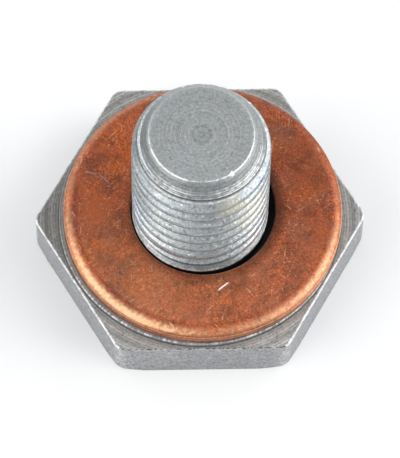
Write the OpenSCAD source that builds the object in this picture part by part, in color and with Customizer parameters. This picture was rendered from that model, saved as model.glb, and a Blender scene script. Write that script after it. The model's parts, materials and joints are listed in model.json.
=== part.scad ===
// Oil drain plug with a copper sealing washer, standing on its hexagonal head.
// The plug's axis is Z, and the origin is the centre of the head's outer face.
// Two corners of the head lie on X, so one flat faces -Y.

/* [Head] */
// Width of the hexagonal head across its flats
head_af = 25.4; // [20:0.1:36]
// Thickness of the head
head_h = 4.5; // [3:0.1:10]
// Radius that rounds each upright corner of the head
head_corner_r = 1.25; // [0.3:0.05:3]
// Radial width of the chamfer turned on the corners of the outer face
head_chamfer_w = 0.95; // [0.3:0.05:2]
// Slope of that chamfer from the outer face, in degrees
head_chamfer_angle = 30; // [15:1:45]

/* [Collar] */
// Height of the turned collar that the washer lies on
collar_h = 0.4; // [0.2:0.05:1.5]
// Distance from the collar's rim to the middle of the head's flats
collar_inset = 0.28; // [0.1:0.02:2]

/* [Shank] */
// Nominal diameter of the thread
thread_d = 12; // [8:0.5:16]
// Amount by which the crests stay under the nominal diameter
crest_allowance = 0.04; // [0:0.01:0.2]
// Pitch of the right-hand thread
thread_pitch = 1.5; // [1.25:0.05:2]
// Depth of the thread's groove below the crests
groove_depth = 0.76; // [0.4:0.02:0.9]
// Width of the groove's floor
groove_floor_w = 0.18; // [0.1:0.02:0.3]
// Length of the shank from the head to the end face
shank_l = 16.4; // [10:0.1:40]
// Length of plain shank between the head and the relief groove
shoulder_l = 2.1; // [1.6:0.05:4]
// Width of the chamfer on the plain shank's upper edge
shoulder_chamfer_w = 0.3; // [0.1:0.05:0.8]
// Width of the relief groove where the thread ends
relief_w = 0.9; // [0.6:0.05:1.5]
// Depth of the relief groove
relief_depth = 0.92; // [0.8:0.02:1.5]
// Radial width of the chamfer on the nose
nose_chamfer_w = 1.5; // [0.5:0.05:2.5]
// Length of that chamfer along the axis
nose_chamfer_l = 2.25; // [0.5:0.05:4]

/* [Washer] */
// Thickness of the sealing washer
washer_t = 1.5; // [0.8:0.05:3]
// Distance from the washer's rim to the collar's rim, both centred
washer_inset = 0.17; // [0:0.01:2]
// Radial gap between the shank and the washer's bore, both centred
washer_clearance = 0.37; // [0.1:0.01:1]
// Gap left where the washer lies closest to the shank
washer_near_gap = 0.13; // [0.03:0.01:0.6]
// Radius that rounds the rim's upper edge
washer_edge_r = 1.2; // [0.4:0.05:2]
// Radius that rounds the rim's lower edge and the edges of the bore
washer_break_r = 0.2; // [0.05:0.05:0.3]
// Width of the crease that runs round the rim under the upper edge
crease_w = 0.14; // [0.05:0.01:0.3]
// Depth of that crease
crease_depth = 0.12; // [0.05:0.01:0.3]

/* [Hidden] */
$fn = 96;

// Chords in each rounded corner of the head, and in each rounded edge of the washer
corner_steps = 8;
edge_steps = 6;
// How far the turning profile reaches past the head's corners
chamfer_overrun = 0.4;
// Slope of the thread's flanks from the plane across the axis, in degrees
flank_angle = 30;
// Straight pieces in one turn of the groove
groove_steps = 24;
// How far the straight pieces of the groove's cutter stay outside the crests
cutter_margin = 0.05;
// Turns over which the groove comes to its depth, and the direction in which it starts, in degrees
run_out_turns = 0.45;
groove_start = 130;
// The front's direction, and how far above the relief groove the groove first crosses it
front = 270;
first_groove_rise = 0.55;
// Slope at which the rim's upper rounding ends in the crease, in degrees
edge_slope = 50;
// Largest share of the washer's thickness that this rounding takes
edge_share = 0.6;

corner_centre_r = (head_af / 2 - head_corner_r) / cos(30);
corner_r = corner_centre_r + head_corner_r;
chamfer_r = corner_r - head_chamfer_w;
turning_r = corner_r + chamfer_overrun;
turning_z = (turning_r - chamfer_r) * tan(head_chamfer_angle);

collar_r = head_af / 2 - collar_inset;
collar_z = head_h + collar_h;
crest_r = (thread_d - crest_allowance) / 2;
relief_r = crest_r - relief_depth;
relief_z = head_h + shoulder_l;
thread_z = relief_z + relief_w;
nose_z = head_h + shank_l;
nose_r = crest_r - nose_chamfer_w;

groove_z = thread_z + first_groove_rise + thread_pitch * (groove_start - front) / 360;
groove_turns = (nose_z - groove_z) / thread_pitch;
last_section = floor(groove_turns * groove_steps);
floor_r = crest_r - groove_depth;
mouth_r = crest_r / cos(180 / groove_steps) + cutter_margin;
floor_half = groove_floor_w / 2;
mouth_half = floor_half + (mouth_r - floor_r) * tan(flank_angle);

washer_r = collar_r - washer_inset;
bore_r = crest_r + washer_clearance;
washer_shift = washer_clearance - washer_near_gap;
upper_r = min(washer_edge_r, edge_share * washer_t / (1 - cos(edge_slope)));
crease_top = washer_t - upper_r * (1 - cos(edge_slope));
crease_low = crease_top - crease_w;
lower_r = min(washer_break_r, crease_low);
upper_centre = [washer_r - crease_depth / 2 - upper_r * sin(edge_slope), washer_t - upper_r];

// Points of an arc about centre c, from angle a to angle b
function arc(c, r, a, b, steps) =
    [for (k = [0:steps]) c + r * [cos(a + (b - a) * k / steps), sin(a + (b - a) * k / steps)]];

// Section of the groove's cutter before it is placed, as radius and height
cutter_corners = [
    [floor_r, -floor_half],
    [mouth_r, -mouth_half],
    [mouth_r, mouth_half],
    [floor_r, floor_half]
];

// Section number k of the cutter along its helix, lifted out of the shank where the groove runs out
function cutter_section(k) =
    let (
        turns = k / groove_steps,
        angle = groove_start + 360 * turns,
        lift = groove_depth * max(0, 1 - turns / run_out_turns)
    )
    [for (p = cutter_corners) [
        (p[0] + lift) * cos(angle),
        (p[0] + lift) * sin(angle),
        groove_z + thread_pitch * turns + p[1]
    ]];

// Hexagon with rounded corners, the first corner on X
head_outline = [for (i = [0:5]) each
    arc(corner_centre_r * [cos(60 * i), sin(60 * i)], head_corner_r, 60 * i - 30, 60 * i + 30, corner_steps)];

// Half section of what the lathe leaves of the hexagonal bar
turning_section = [
    [0, 0],
    [chamfer_r, 0],
    [turning_r, turning_z],
    [turning_r, head_h],
    [0, head_h]
];

// Half section of collar, plain shoulder, relief groove, thread at its crests, and nose
shank_section = [
    [0, head_h / 2],
    [collar_r, head_h / 2],
    [collar_r, collar_z],
    [crest_r, collar_z],
    [crest_r, relief_z - shoulder_chamfer_w],
    [crest_r - shoulder_chamfer_w, relief_z],
    [relief_r, relief_z],
    [relief_r, thread_z],
    [crest_r, thread_z],
    [crest_r, nose_z - nose_chamfer_l],
    [nose_r, nose_z],
    [0, nose_z]
];

// Section of the washer: wide upper rounding, crease below it, broken lower edge and bore edges
washer_section = concat(
    arc([bore_r + washer_break_r, washer_break_r], washer_break_r, 180, 270, edge_steps),
    arc([washer_r - lower_r, lower_r], lower_r, 270, 360, edge_steps),
    [[washer_r, crease_low], [washer_r - crease_depth, (crease_low + crease_top) / 2]],
    arc(upper_centre, upper_r, 90 - edge_slope, 90, edge_steps),
    arc([bore_r + washer_break_r, washer_t - washer_break_r], washer_break_r, 90, 180, edge_steps)
);

// Solid that cuts the thread's groove out of the shank, swept along a helix
module groove_cutter() {
    n = len(cutter_corners);
    points = [for (k = [0:last_section]) each cutter_section(k)];
    sides = [for (k = [0:last_section - 1], j = [0:n - 1])
        let (next = (j + 1) % n)
        [n * k + j, n * k + next, n * (k + 1) + next, n * (k + 1) + j]];
    low_end = [for (j = [n - 1:-1:0]) j];
    high_end = [for (j = [0:n - 1]) n * last_section + j];
    polyhedron(points, concat([low_end], sides, [high_end]));
}

// Plug turned in one piece from hexagonal bar
module drain_plug() {
    color([0.66, 0.67, 0.67]) difference() {
        union() {
            intersection() {
                linear_extrude(head_h) polygon(head_outline);
                rotate_extrude() polygon(turning_section);
            }
            rotate_extrude() polygon(shank_section);
        }
        groove_cutter();
    }
}

// Washer lying loose on the collar, pushed along X as far as its bore lets it go
module sealing_washer() {
    color([0.72, 0.41, 0.27]) translate([washer_shift, 0, collar_z])
        rotate_extrude() polygon(washer_section);
}

drain_plug();
sealing_washer();
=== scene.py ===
"""Oil drain plug with a copper sealing washer, standing on its hexagonal head.

Lengths are metres in the frame's axes: Z runs up the shank, and one flat of the head faces -Y.
"""
import json
import math
from collections import namedtuple
from functools import partial

import bmesh
import bpy
from bpy.props import FloatProperty, FloatVectorProperty, PointerProperty
from bpy.types import Operator, Panel, PropertyGroup
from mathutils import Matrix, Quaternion, Vector, noise


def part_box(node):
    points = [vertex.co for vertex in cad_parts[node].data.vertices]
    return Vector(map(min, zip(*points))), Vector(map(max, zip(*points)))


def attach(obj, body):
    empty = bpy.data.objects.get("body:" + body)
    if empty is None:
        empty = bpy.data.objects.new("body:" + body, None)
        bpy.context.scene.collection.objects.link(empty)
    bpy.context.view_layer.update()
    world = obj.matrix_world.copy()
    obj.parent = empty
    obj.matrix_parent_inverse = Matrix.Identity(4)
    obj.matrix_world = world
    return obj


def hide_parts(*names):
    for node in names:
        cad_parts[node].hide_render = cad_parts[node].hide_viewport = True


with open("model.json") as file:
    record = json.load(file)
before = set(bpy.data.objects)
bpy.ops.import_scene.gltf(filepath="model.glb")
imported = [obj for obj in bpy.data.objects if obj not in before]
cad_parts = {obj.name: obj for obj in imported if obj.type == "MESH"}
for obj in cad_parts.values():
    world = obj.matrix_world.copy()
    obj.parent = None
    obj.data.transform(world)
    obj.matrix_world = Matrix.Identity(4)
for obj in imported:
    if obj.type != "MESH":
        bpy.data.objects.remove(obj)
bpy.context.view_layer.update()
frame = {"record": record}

bl_info = {
    "name": "Oil Drain Plug",
    "version": (1, 0, 0),
    "blender": (4, 5, 0),
    "location": "3D View > Sidebar > Drain Plug",
    "description": "Dresses the packed solids of an oil drain plug and its copper washer",
    "category": "Object",
}

MM = 0.001
PLUG_LOW, PLUG_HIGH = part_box("drain_plug")
WASHER_LOW, WASHER_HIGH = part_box("sealing_washer")
SHANK = next(m for m in frame["record"]["mounts"] if m["name"] == "threaded_shank")
SHANK_MIDDLE = SHANK["pos_m"][2]
SHANK_HALF = SHANK["dims"]["length_mm"] * MM / 2
COS30 = math.cos(math.radians(30))
FRONT = math.radians(270)
CORNER = ((PLUG_HIGH[1] / COS30) - PLUG_HIGH[0]) / (1 / COS30 - 1)


def length(name, description, default):
    """A size in metres, for a settings group."""
    return FloatProperty(name=name, description=description, default=default, min=0.0, precision=5, unit="LENGTH")


def turn(name, description, degrees):
    """An angle, for a settings group."""
    return FloatProperty(
        name=name, description=description, default=math.radians(degrees), precision=3, subtype="ANGLE", unit="ROTATION"
    )


def share(name, description, default, top=1.0):
    """A plain number from zero up, for a settings group."""
    return FloatProperty(name=name, description=description, default=default, min=0.0, max=top, precision=3)


def colour(name, description, default):
    """A linear colour, for a settings group."""
    return FloatVectorProperty(
        name=name, description=description, default=default, size=3, min=0.0, max=1.0, subtype="COLOR"
    )


class DRAINPLUG_PG_plug(PropertyGroup):
    """Sizes of the turned plug."""

    flat_radius: length("Half across flats", "Distance from the axis to a flat of the head", PLUG_HIGH[1])
    corner_round: length("Corner rounding", "Radius on the head's upright corners", CORNER)
    collar_height: length("Collar height", "Height of the collar under the washer", 0.4 * MM)
    collar_inset: length("Collar inset", "From the middle of a flat to the collar's rim", 0.28 * MM)
    seat: length("Seat height", "Height of the face that the washer lies on", WASHER_LOW[2])
    foot_chamfer: length("Foot chamfer", "Radial width of the chamfer under the corners", 0.95 * MM)
    foot_slope: turn("Foot slope", "Slope of that chamfer", 30)
    edge_round: length("Edge rounding", "Radius on the head's upper edges", 0.1 * MM)
    crest_radius: length("Crest radius", "Radius of the shank at the thread's crests", SHANK["dims"]["r_mm"] * MM)
    shoulder_chamfer: length("Shoulder chamfer", "Width of the chamfer on the plain shank's upper edge", 0.3 * MM)
    relief_width: length("Relief width", "Width of the groove under the thread", 0.9 * MM)
    relief_depth: length("Relief depth", "Depth of the groove under the thread", 0.92 * MM)
    nose_radius: length("Nose radius", "Radius of the end face", 4.48 * MM)
    nose_round: length("Nose rounding", "Radius on the end face's edge", 0.16 * MM)


class DRAINPLUG_PG_thread(PropertyGroup):
    """Sizes of the thread's groove."""

    pitch: length("Pitch", "Rise of the thread in one turn", 1.5 * MM)
    groove_width: length("Groove width", "Width of the groove at the crests", 1.06 * MM)
    groove_depth: length("Groove depth", "Depth of the groove below the crests", 0.76 * MM)
    root_width: length("Root width", "Width of the groove's floor", 0.18 * MM)
    root_round: length("Root rounding", "Radius at the groove's floor", 0.06 * MM)
    edge_break: length("Crest break", "Width of the broken edge on each crest", 0.09 * MM)
    front_height: length("Front height", "Height of the first groove's middle at the front", 8.05 * MM)
    start: turn("Start", "Direction in which the groove starts", 130)
    run_out: share("Run-out", "Turns over which the groove reaches its depth", 0.45, 3.0)


class DRAINPLUG_PG_washer(PropertyGroup):
    """Sizes of the copper washer."""

    radius: length("Radius", "Radius of the washer's rim", (WASHER_HIGH[1] - WASHER_LOW[1]) / 2)
    bore: length("Bore", "Radius of the washer's hole", 6.35 * MM)
    edge_round: length("Edge rounding", "Radius on the rim's upper edge", 1.2 * MM)
    edge_slope: turn("Edge slope", "Slope at which that rounding ends in the crease", 50)
    small_round: length("Small rounding", "Radius on the bore's edges and the rim's lower edge", 0.2 * MM)
    crease_width: length("Crease width", "Width of the crease round the rim", 0.14 * MM)
    crease_depth: length("Crease depth", "Depth of the crease round the rim", 0.12 * MM)
    wave: length("Unevenness", "How uneven the washer's upper face is", 0.012 * MM)


class DRAINPLUG_PG_finish(PropertyGroup):
    """Colours of the metals."""

    zinc: colour("Zinc", "Zinc coat", (0.385, 0.408, 0.41))
    zinc_dull: colour("Dull zinc", "Zinc coat on the head's upper face", (0.40, 0.402, 0.392))
    zinc_cool: colour("Cool zinc", "Bluish bloom on the zinc", (0.37, 0.44, 0.53))
    zinc_warm: colour("Warm zinc", "Yellowish bloom on the zinc", (0.52, 0.49, 0.38))
    # Also the painted highlight along the head's edges and corners, the collar's edge, the shoulder's edge, the nose's
    # edge and its chamfer marks
    burr: colour("Burr", "Bare steel on the burrs and sharp edges", (0.95, 0.95, 0.95))
    zinc_drawn: colour("Drawn zinc", "Zinc coat on the flats", (0.365, 0.372, 0.387))
    # Painted shade: the dark colour that the bore values mix in, for the gap under the washer, the relief, the collar's
    # foot and the sides that the shade tables darken; in the gap some of it is dirt
    shade_and_grime: colour("Grime", "Dirt in the gaps", (0.008, 0.008, 0.009))
    copper: colour("Copper", "Main copper colour", (0.48, 0.115, 0.045))
    copper_dark: colour("Dark copper", "Tarnished copper", (0.17, 0.044, 0.022))
    copper_orange: colour("Orange copper", "Fresh copper between the stains", (0.53, 0.122, 0.03))
    copper_haze: colour("Hazy copper", "Dull film on the copper", (0.43, 0.15, 0.085))
    copper_dull: colour("Dull copper", "Greyish stains on the copper", (0.33, 0.17, 0.11))
    # Rubbed copper, and the painted highlight on the rim, the bore's edge and the front of the upper face; also the
    # pale specks
    copper_bright: colour("Bright copper", "Rubbed copper", (1.0, 0.57, 0.31))


class DRAINPLUG_PG_stage(PropertyGroup):
    """Camera, lamps and floor."""

    lens: FloatProperty(name="Lens", description="Focal length on a 36 mm sensor", default=329.35, unit="CAMERA")
    distance: length("Camera distance", "From the camera to the middle of the picture", 369.13 * MM)
    elevation: turn("Camera elevation", "Height of the camera above the horizon", 64.768)
    swing: turn("Camera swing", "Turn of the camera about the plug's axis", -2.233)
    roll: turn("Camera roll", "Turn of the camera about its own axis", 1.187)
    aim: FloatVectorProperty(
        name="Camera aim", description="Point in the middle of the picture", size=3, subtype="TRANSLATION",
        unit="LENGTH", default=(-0.0135 * MM, -1.1327 * MM, 4.5 * MM),
    )
    left_lamp: share("Left lamp", "Brightness of the lamp on the left", 2.6, 50.0)
    right_lamp: share("Right lamp", "Brightness of the lamp on the right", 3.2, 50.0)
    sky: share("Sky", "Brightness of the surroundings overhead", 0.64, 10.0)
    horizon: share("Horizon", "Brightness of the surroundings at eye level", 0.45, 10.0)
    front: share("Front", "Brightness of the surroundings behind the camera, as a share of the rest", 0.5)
    back_right_lamp: share("Back right lamp", "Brightness of the lamp behind on the right", 4.4, 50.0)
    back_left_lamp: share("Back left lamp", "Brightness of the lamp behind on the left", 2.6, 50.0)
    floor: colour("Floor", "Colour of the floor", (0.905, 0.92, 0.93))
    floor_glow: share("Floor white", "How much of the floor is plain white to the camera", 0.1)
    # Painted light: more plain white on the floor in front of the object, which lifts the object's shadow there
    front_glow: share("Front floor white", "The same in front of the object", 0.75)


def put(tree, target, value):
    """Sets a socket to a value, or links another node's output to it."""
    if isinstance(value, bpy.types.NodeSocket):
        tree.links.new(value, target)
    else:
        target.default_value = value


def node(tree, kind, inputs=None, **settings):
    """Adds a node with its settings and inputs."""
    new = tree.nodes.new(kind)
    for name, value in settings.items():
        setattr(new, name, value)
    for socket, value in (inputs or {}).items():
        put(tree, new.inputs[socket], value)
    return new


def calc(tree, operation, *values, clamp=False):
    """Adds a Math node and returns its output."""
    new = node(tree, "ShaderNodeMath", dict(enumerate(values)), operation=operation, use_clamp=clamp)
    return new.outputs[0]


def ramp(tree, value, low, high, to_low=0.0, to_high=1.0, kind="SMOOTHSTEP"):
    """Maps a value from one range to another, without going past its ends."""
    new = node(
        tree, "ShaderNodeMapRange",
        {"Value": value, "From Min": low, "From Max": high, "To Min": to_low, "To Max": to_high},
        interpolation_type=kind,
    )
    return new.outputs["Result"]


def mix(tree, factor, first, second):
    """Mixes two colours."""
    new = node(tree, "ShaderNodeMix", data_type="RGBA")
    put(tree, new.inputs["Factor"], factor)
    for socket, value in zip((s for s in new.inputs if s.type == "RGBA"), (first, second)):
        put(tree, socket, value if isinstance(value, bpy.types.NodeSocket) else (*value, 1.0))
    return next(s for s in new.outputs if s.type == "RGBA")


def grain(tree, place, scale, detail=2.0, roughness=0.5, distortion=0.0):
    """Adds a Noise texture and returns its value."""
    new = node(
        tree, "ShaderNodeTexNoise",
        {"Vector": place, "Scale": scale, "Detail": detail, "Roughness": roughness, "Distortion": distortion},
    )
    return new.outputs[0]


def group_tree(name, inputs, outputs, kind="ShaderNodeTree"):
    """Starts a node group with named sockets. Returns the tree, its inputs by name, and its output node."""
    tree = bpy.data.node_groups.new(name, kind)
    for socket, sort, default in inputs:
        made = tree.interface.new_socket(socket, in_out="INPUT", socket_type="NodeSocket" + sort)
        if default is not None:
            made.default_value = default
    for socket, sort in outputs:
        tree.interface.new_socket(socket, in_out="OUTPUT", socket_type="NodeSocket" + sort)
    start = tree.nodes.new("NodeGroupInput")
    return tree, start.outputs, tree.nodes.new("NodeGroupOutput")


def use_group(tree, name, build, **inputs):
    """Places a shader group, building it the first time. Returns its outputs."""
    group = bpy.data.node_groups.get(name) or build(name)
    new = node(tree, "ShaderNodeGroup", node_tree=group)
    for socket, value in inputs.items():
        put(tree, new.inputs[socket.replace("_", " ").capitalize()], value)
    return new.outputs


def turning_marks(name):
    """Rings left by the lathe tool: their height, a random shade for each ring, and the dark line between rings, which
    is painted shade in the groove.
    """
    tree, inputs, end = group_tree(
        name,
        (("Feed", "Float", 0.24 * MM), ("Wander", "Float", 0.2), ("Faint from", "Float", 1.0)),
        (("Height", "Float"), ("Shade", "Float"), ("Line", "Float")),
    )
    place = node(tree, "ShaderNodeTexCoord").outputs["Object"]
    split = node(tree, "ShaderNodeSeparateXYZ", {0: place}).outputs
    squares = (calc(tree, "POWER", split[0], 2.0), calc(tree, "POWER", split[1], 2.0))
    radius = calc(tree, "SQRT", calc(tree, "ADD", *squares))
    drift = calc(tree, "MULTIPLY", calc(tree, "SUBTRACT", grain(tree, place, 350.0), 0.5), inputs["Wander"])
    rings = calc(tree, "ADD", calc(tree, "DIVIDE", radius, inputs["Feed"]), drift)
    number = calc(tree, "FLOOR", rings)
    chance = node(tree, "ShaderNodeTexWhiteNoise", {"W": number}, noise_dimensions="1D").outputs["Value"]
    ridge = calc(tree, "MULTIPLY", calc(tree, "PINGPONG", calc(tree, "FRACT", rings), 0.5), 2.0)
    height = calc(tree, "MULTIPLY", ridge, calc(tree, "MULTIPLY_ADD", chance, 0.7, 0.3))
    clear = ramp(tree, radius, calc(tree, "MULTIPLY", inputs["Faint from"], 0.35), inputs["Faint from"], 1.0, 0.25)
    shade = calc(tree, "MULTIPLY", calc(tree, "SUBTRACT", chance, 0.5), clear)
    broken = ramp(tree, grain(tree, place, 1300.0, 2.0), 0.36, 0.62, 0.25, 1.0)
    cut = calc(tree, "MULTIPLY", ramp(tree, ridge, 0.0, 0.5, 1.0, 0.0), calc(tree, "MULTIPLY_ADD", chance, 0.7, 0.3))
    put(tree, end.inputs["Height"], height)
    put(tree, end.inputs["Shade"], shade)
    put(tree, end.inputs["Line"], calc(tree, "MULTIPLY", calc(tree, "MULTIPLY", cut, broken), clear))
    return tree


def metal_bloom(name):
    """Patches and fine grain of a dull metal skin: a colour, a dullness and a grain height."""
    tree, inputs, end = group_tree(
        name,
        (
            ("Base", "Color", (0.5, 0.5, 0.5, 1.0)), ("Cool", "Color", (0.5, 0.5, 0.5, 1.0)),
            ("Warm", "Color", (0.5, 0.5, 0.5, 1.0)), ("Patch scale", "Float", 300.0),
            ("Grain scale", "Float", 6000.0), ("Grain strength", "Float", 0.2),
            ("Pits", "Float", 0.2), ("Glints", "Float", 0.0),
        ),
        (("Colour", "Color"), ("Dullness", "Float"), ("Grain", "Float")),
    )
    place = node(tree, "ShaderNodeTexCoord").outputs["Object"]
    shifted = node(tree, "ShaderNodeMapping", {"Vector": place, "Location": (0.31, 0.17, 0.53)}).outputs[0]
    patch = grain(tree, place, inputs["Patch scale"], 3.0, 0.6)
    other = grain(tree, shifted, inputs["Patch scale"], 3.0, 0.6)
    fine = grain(tree, place, inputs["Grain scale"], 3.0, 0.65)
    specks = grain(tree, shifted, calc(tree, "MULTIPLY", inputs["Grain scale"], 0.6), 1.0, 0.5)
    tinted = mix(tree, ramp(tree, patch, 0.48, 0.7), inputs["Base"], inputs["Cool"])
    tinted = mix(tree, ramp(tree, other, 0.48, 0.7), tinted, inputs["Warm"])
    level = calc(tree, "MULTIPLY_ADD", calc(tree, "SUBTRACT", fine, 0.5), inputs["Grain strength"], 1.0)
    pits = calc(tree, "MULTIPLY", ramp(tree, specks, 0.26, 0.4, 1.0, 0.0), inputs["Pits"])
    glints = calc(tree, "MULTIPLY", ramp(tree, specks, 0.62, 0.76), inputs["Glints"])
    level = calc(tree, "SUBTRACT", calc(tree, "ADD", level, glints), pits)
    shaded = node(tree, "ShaderNodeVectorMath", {0: tinted, "Scale": level}, operation="SCALE").outputs[0]
    put(tree, end.inputs["Colour"], shaded)
    put(tree, end.inputs["Dullness"], patch)
    put(tree, end.inputs["Grain"], fine)
    return tree


def lit_and_worn_edges(name):
    """Broken bright line along the edges that the mesh marks: real wear with painted highlight."""
    tree, inputs, end = group_tree(
        name, (("Spread", "Float", 0.5), ("Break scale", "Float", 900.0)), (("Mask", "Float"),)
    )
    place = node(tree, "ShaderNodeTexCoord").outputs["Object"]
    wear = node(tree, "ShaderNodeAttribute", attribute_name="wear").outputs["Fac"]
    broken = ramp(tree, grain(tree, place, inputs["Break scale"], 3.0, 0.6), 0.35, 0.65)
    kept = calc(tree, "SUBTRACT", 1.0, inputs["Spread"])
    level = calc(tree, "MULTIPLY", wear, calc(tree, "MULTIPLY_ADD", broken, inputs["Spread"], kept))
    put(tree, end.inputs["Mask"], calc(tree, "MULTIPLY", level, 1.5, clamp=True))
    return tree


def scratch(name):
    """One straight scratch on a face seen from above, fading at both ends."""
    tree, inputs, end = group_tree(
        name,
        (
            ("Centre", "Vector", (0.0, 0.0, 0.0)), ("Turn", "Float", 0.0),
            ("Half length", "Float", 1.0 * MM), ("Half width", "Float", 0.05 * MM),
        ),
        (("Mask", "Float"),),
    )
    place = node(tree, "ShaderNodeTexCoord").outputs["Object"]
    moved = node(tree, "ShaderNodeVectorMath", {0: place, 1: inputs["Centre"]}, operation="SUBTRACT").outputs[0]
    spun = node(
        tree, "ShaderNodeVectorRotate",
        {"Vector": moved, "Angle": calc(tree, "MULTIPLY", inputs["Turn"], -1.0)}, rotation_type="Z_AXIS",
    ).outputs[0]
    split = node(tree, "ShaderNodeSeparateXYZ", {0: spun}).outputs
    bend = calc(tree, "MULTIPLY", calc(tree, "SUBTRACT", grain(tree, place, 700.0, 1.0), 0.5), 0.16 * MM)
    across = calc(tree, "DIVIDE", calc(tree, "ABSOLUTE", calc(tree, "ADD", split[1], bend)), inputs["Half width"])
    along = calc(tree, "DIVIDE", calc(tree, "ABSOLUTE", split[0]), inputs["Half length"])
    mask = calc(tree, "MULTIPLY", ramp(tree, across, 0.3, 1.0, 1.0, 0.0), ramp(tree, along, 0.6, 1.0, 1.0, 0.0))
    put(tree, end.inputs["Mask"], mask)
    return tree


def stain(name):
    """One soft, uneven spot about a point."""
    tree, inputs, end = group_tree(
        name, (("Centre", "Vector", (0.0, 0.0, 0.0)), ("Radius", "Float", 1.0 * MM)), (("Mask", "Float"),)
    )
    place = node(tree, "ShaderNodeTexCoord").outputs["Object"]
    away_from = node(tree, "ShaderNodeVectorMath", {0: place, 1: inputs["Centre"]}, operation="DISTANCE")
    edge = calc(tree, "MULTIPLY_ADD", grain(tree, place, 900.0, 3.0, 0.6), 1.2, -0.6)
    share_out = calc(tree, "ADD", calc(tree, "DIVIDE", away_from.outputs["Value"], inputs["Radius"]), edge)
    put(tree, end.inputs["Mask"], ramp(tree, share_out, 0.3, 1.1, 1.0, 0.0))
    return tree


def metal(name, metallic):
    """Starts a material. Returns it with its tree and its Principled shader."""
    made = bpy.data.materials.new(name)
    made.use_nodes = True
    tree = made.node_tree
    tree.nodes.clear()
    shader = node(tree, "ShaderNodeBsdfPrincipled", {"Metallic": metallic})
    node(tree, "ShaderNodeOutputMaterial", {"Surface": shader.outputs[0]})
    return made, tree, shader


def bump(tree, shader, height, strength, distance):
    """Feeds a height to the shader's normal."""
    new = node(tree, "ShaderNodeBump", {"Height": height, "Strength": strength, "Distance": distance})
    put(tree, shader.inputs["Normal"], new.outputs[0])


Skin = namedtuple(
    "Skin", "base shade metallic rough tint patch feed faint_from contrast lines depth grain grit pits glints"
)


# Warm stains on the shank: direction in degrees, height and radius in mm, strength
SHANK_STAINS = (
    (296, 17.5, 1.9, 0.6),
    (322, 14.0, 3.2, 0.45),
)


def zinc_material(name, finish, skin):
    """Zinc-coated steel with the lathe's rings on it, painted shade with some dirt in its gaps and on its darker sides,
    and bare burrs with painted highlight along its edges.
    """
    made, tree, shader = metal(name, skin.metallic)
    zinc = Vector(skin.base) * skin.shade
    bloom = use_group(
        tree, "Metal bloom", metal_bloom, base=(*zinc, 1.0),
        cool=(*zinc.lerp(Vector(finish.zinc_cool) * skin.shade, skin.tint), 1.0),
        warm=(*zinc.lerp(Vector(finish.zinc_warm) * skin.shade, 0.15 * skin.tint), 1.0),
        patch_scale=skin.patch, grain_scale=4600.0, grain_strength=skin.grain, pits=skin.pits, glints=skin.glints,
    )
    rings = use_group(
        tree, "Turning marks", turning_marks, feed=skin.feed, wander=0.35, faint_from=skin.faint_from
    )
    level = calc(tree, "MULTIPLY_ADD", rings["Shade"], skin.contrast, 1.0)
    level = calc(tree, "MULTIPLY_ADD", rings["Line"], -skin.lines, level)
    shaded = node(tree, "ShaderNodeVectorMath", {0: bloom["Colour"], "Scale": level}, operation="SCALE").outputs[0]
    for degrees, height, radius, strength in SHANK_STAINS:
        centre = away((0.0, 0.0, height * MM), math.radians(degrees), 0.0, SHANK["dims"]["r_mm"] * MM)
        mask = use_group(tree, "Stain", stain, centre=centre, radius=radius * MM)["Mask"]
        shaded = mix(tree, calc(tree, "MULTIPLY", mask, strength), shaded, Vector(finish.zinc_warm) * skin.shade)
    # Painted shade: the bore values mix in the dark grime colour and take away the shine; the worn marks paint
    # highlights in the burr colour
    darkening = node(tree, "ShaderNodeAttribute", attribute_name="bore").outputs["Fac"]
    worn_and_lit = use_group(tree, "Worn edges", lit_and_worn_edges, spread=0.8, break_scale=2300.0)["Mask"]
    put(tree, shader.inputs["Base Color"], mix(tree, darkening, mix(tree, worn_and_lit, shaded, finish.burr), finish.shade_and_grime))
    bare = calc(tree, "MULTIPLY_ADD", calc(tree, "MAXIMUM", darkening, worn_and_lit), -skin.metallic, skin.metallic)
    put(tree, shader.inputs["Metallic"], bare)
    dull = ramp(tree, bloom["Dullness"], 0.3, 0.7, skin.rough - 0.06, skin.rough + 0.06, "LINEAR")
    put(tree, shader.inputs["Roughness"], calc(tree, "MULTIPLY_ADD", worn_and_lit, -0.12, dull))
    grit = calc(tree, "MULTIPLY", bloom["Grain"], skin.grit)
    bump(tree, shader, calc(tree, "MULTIPLY_ADD", rings["Height"], skin.depth, grit), 1.0, 0.1 * MM)
    return made


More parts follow.
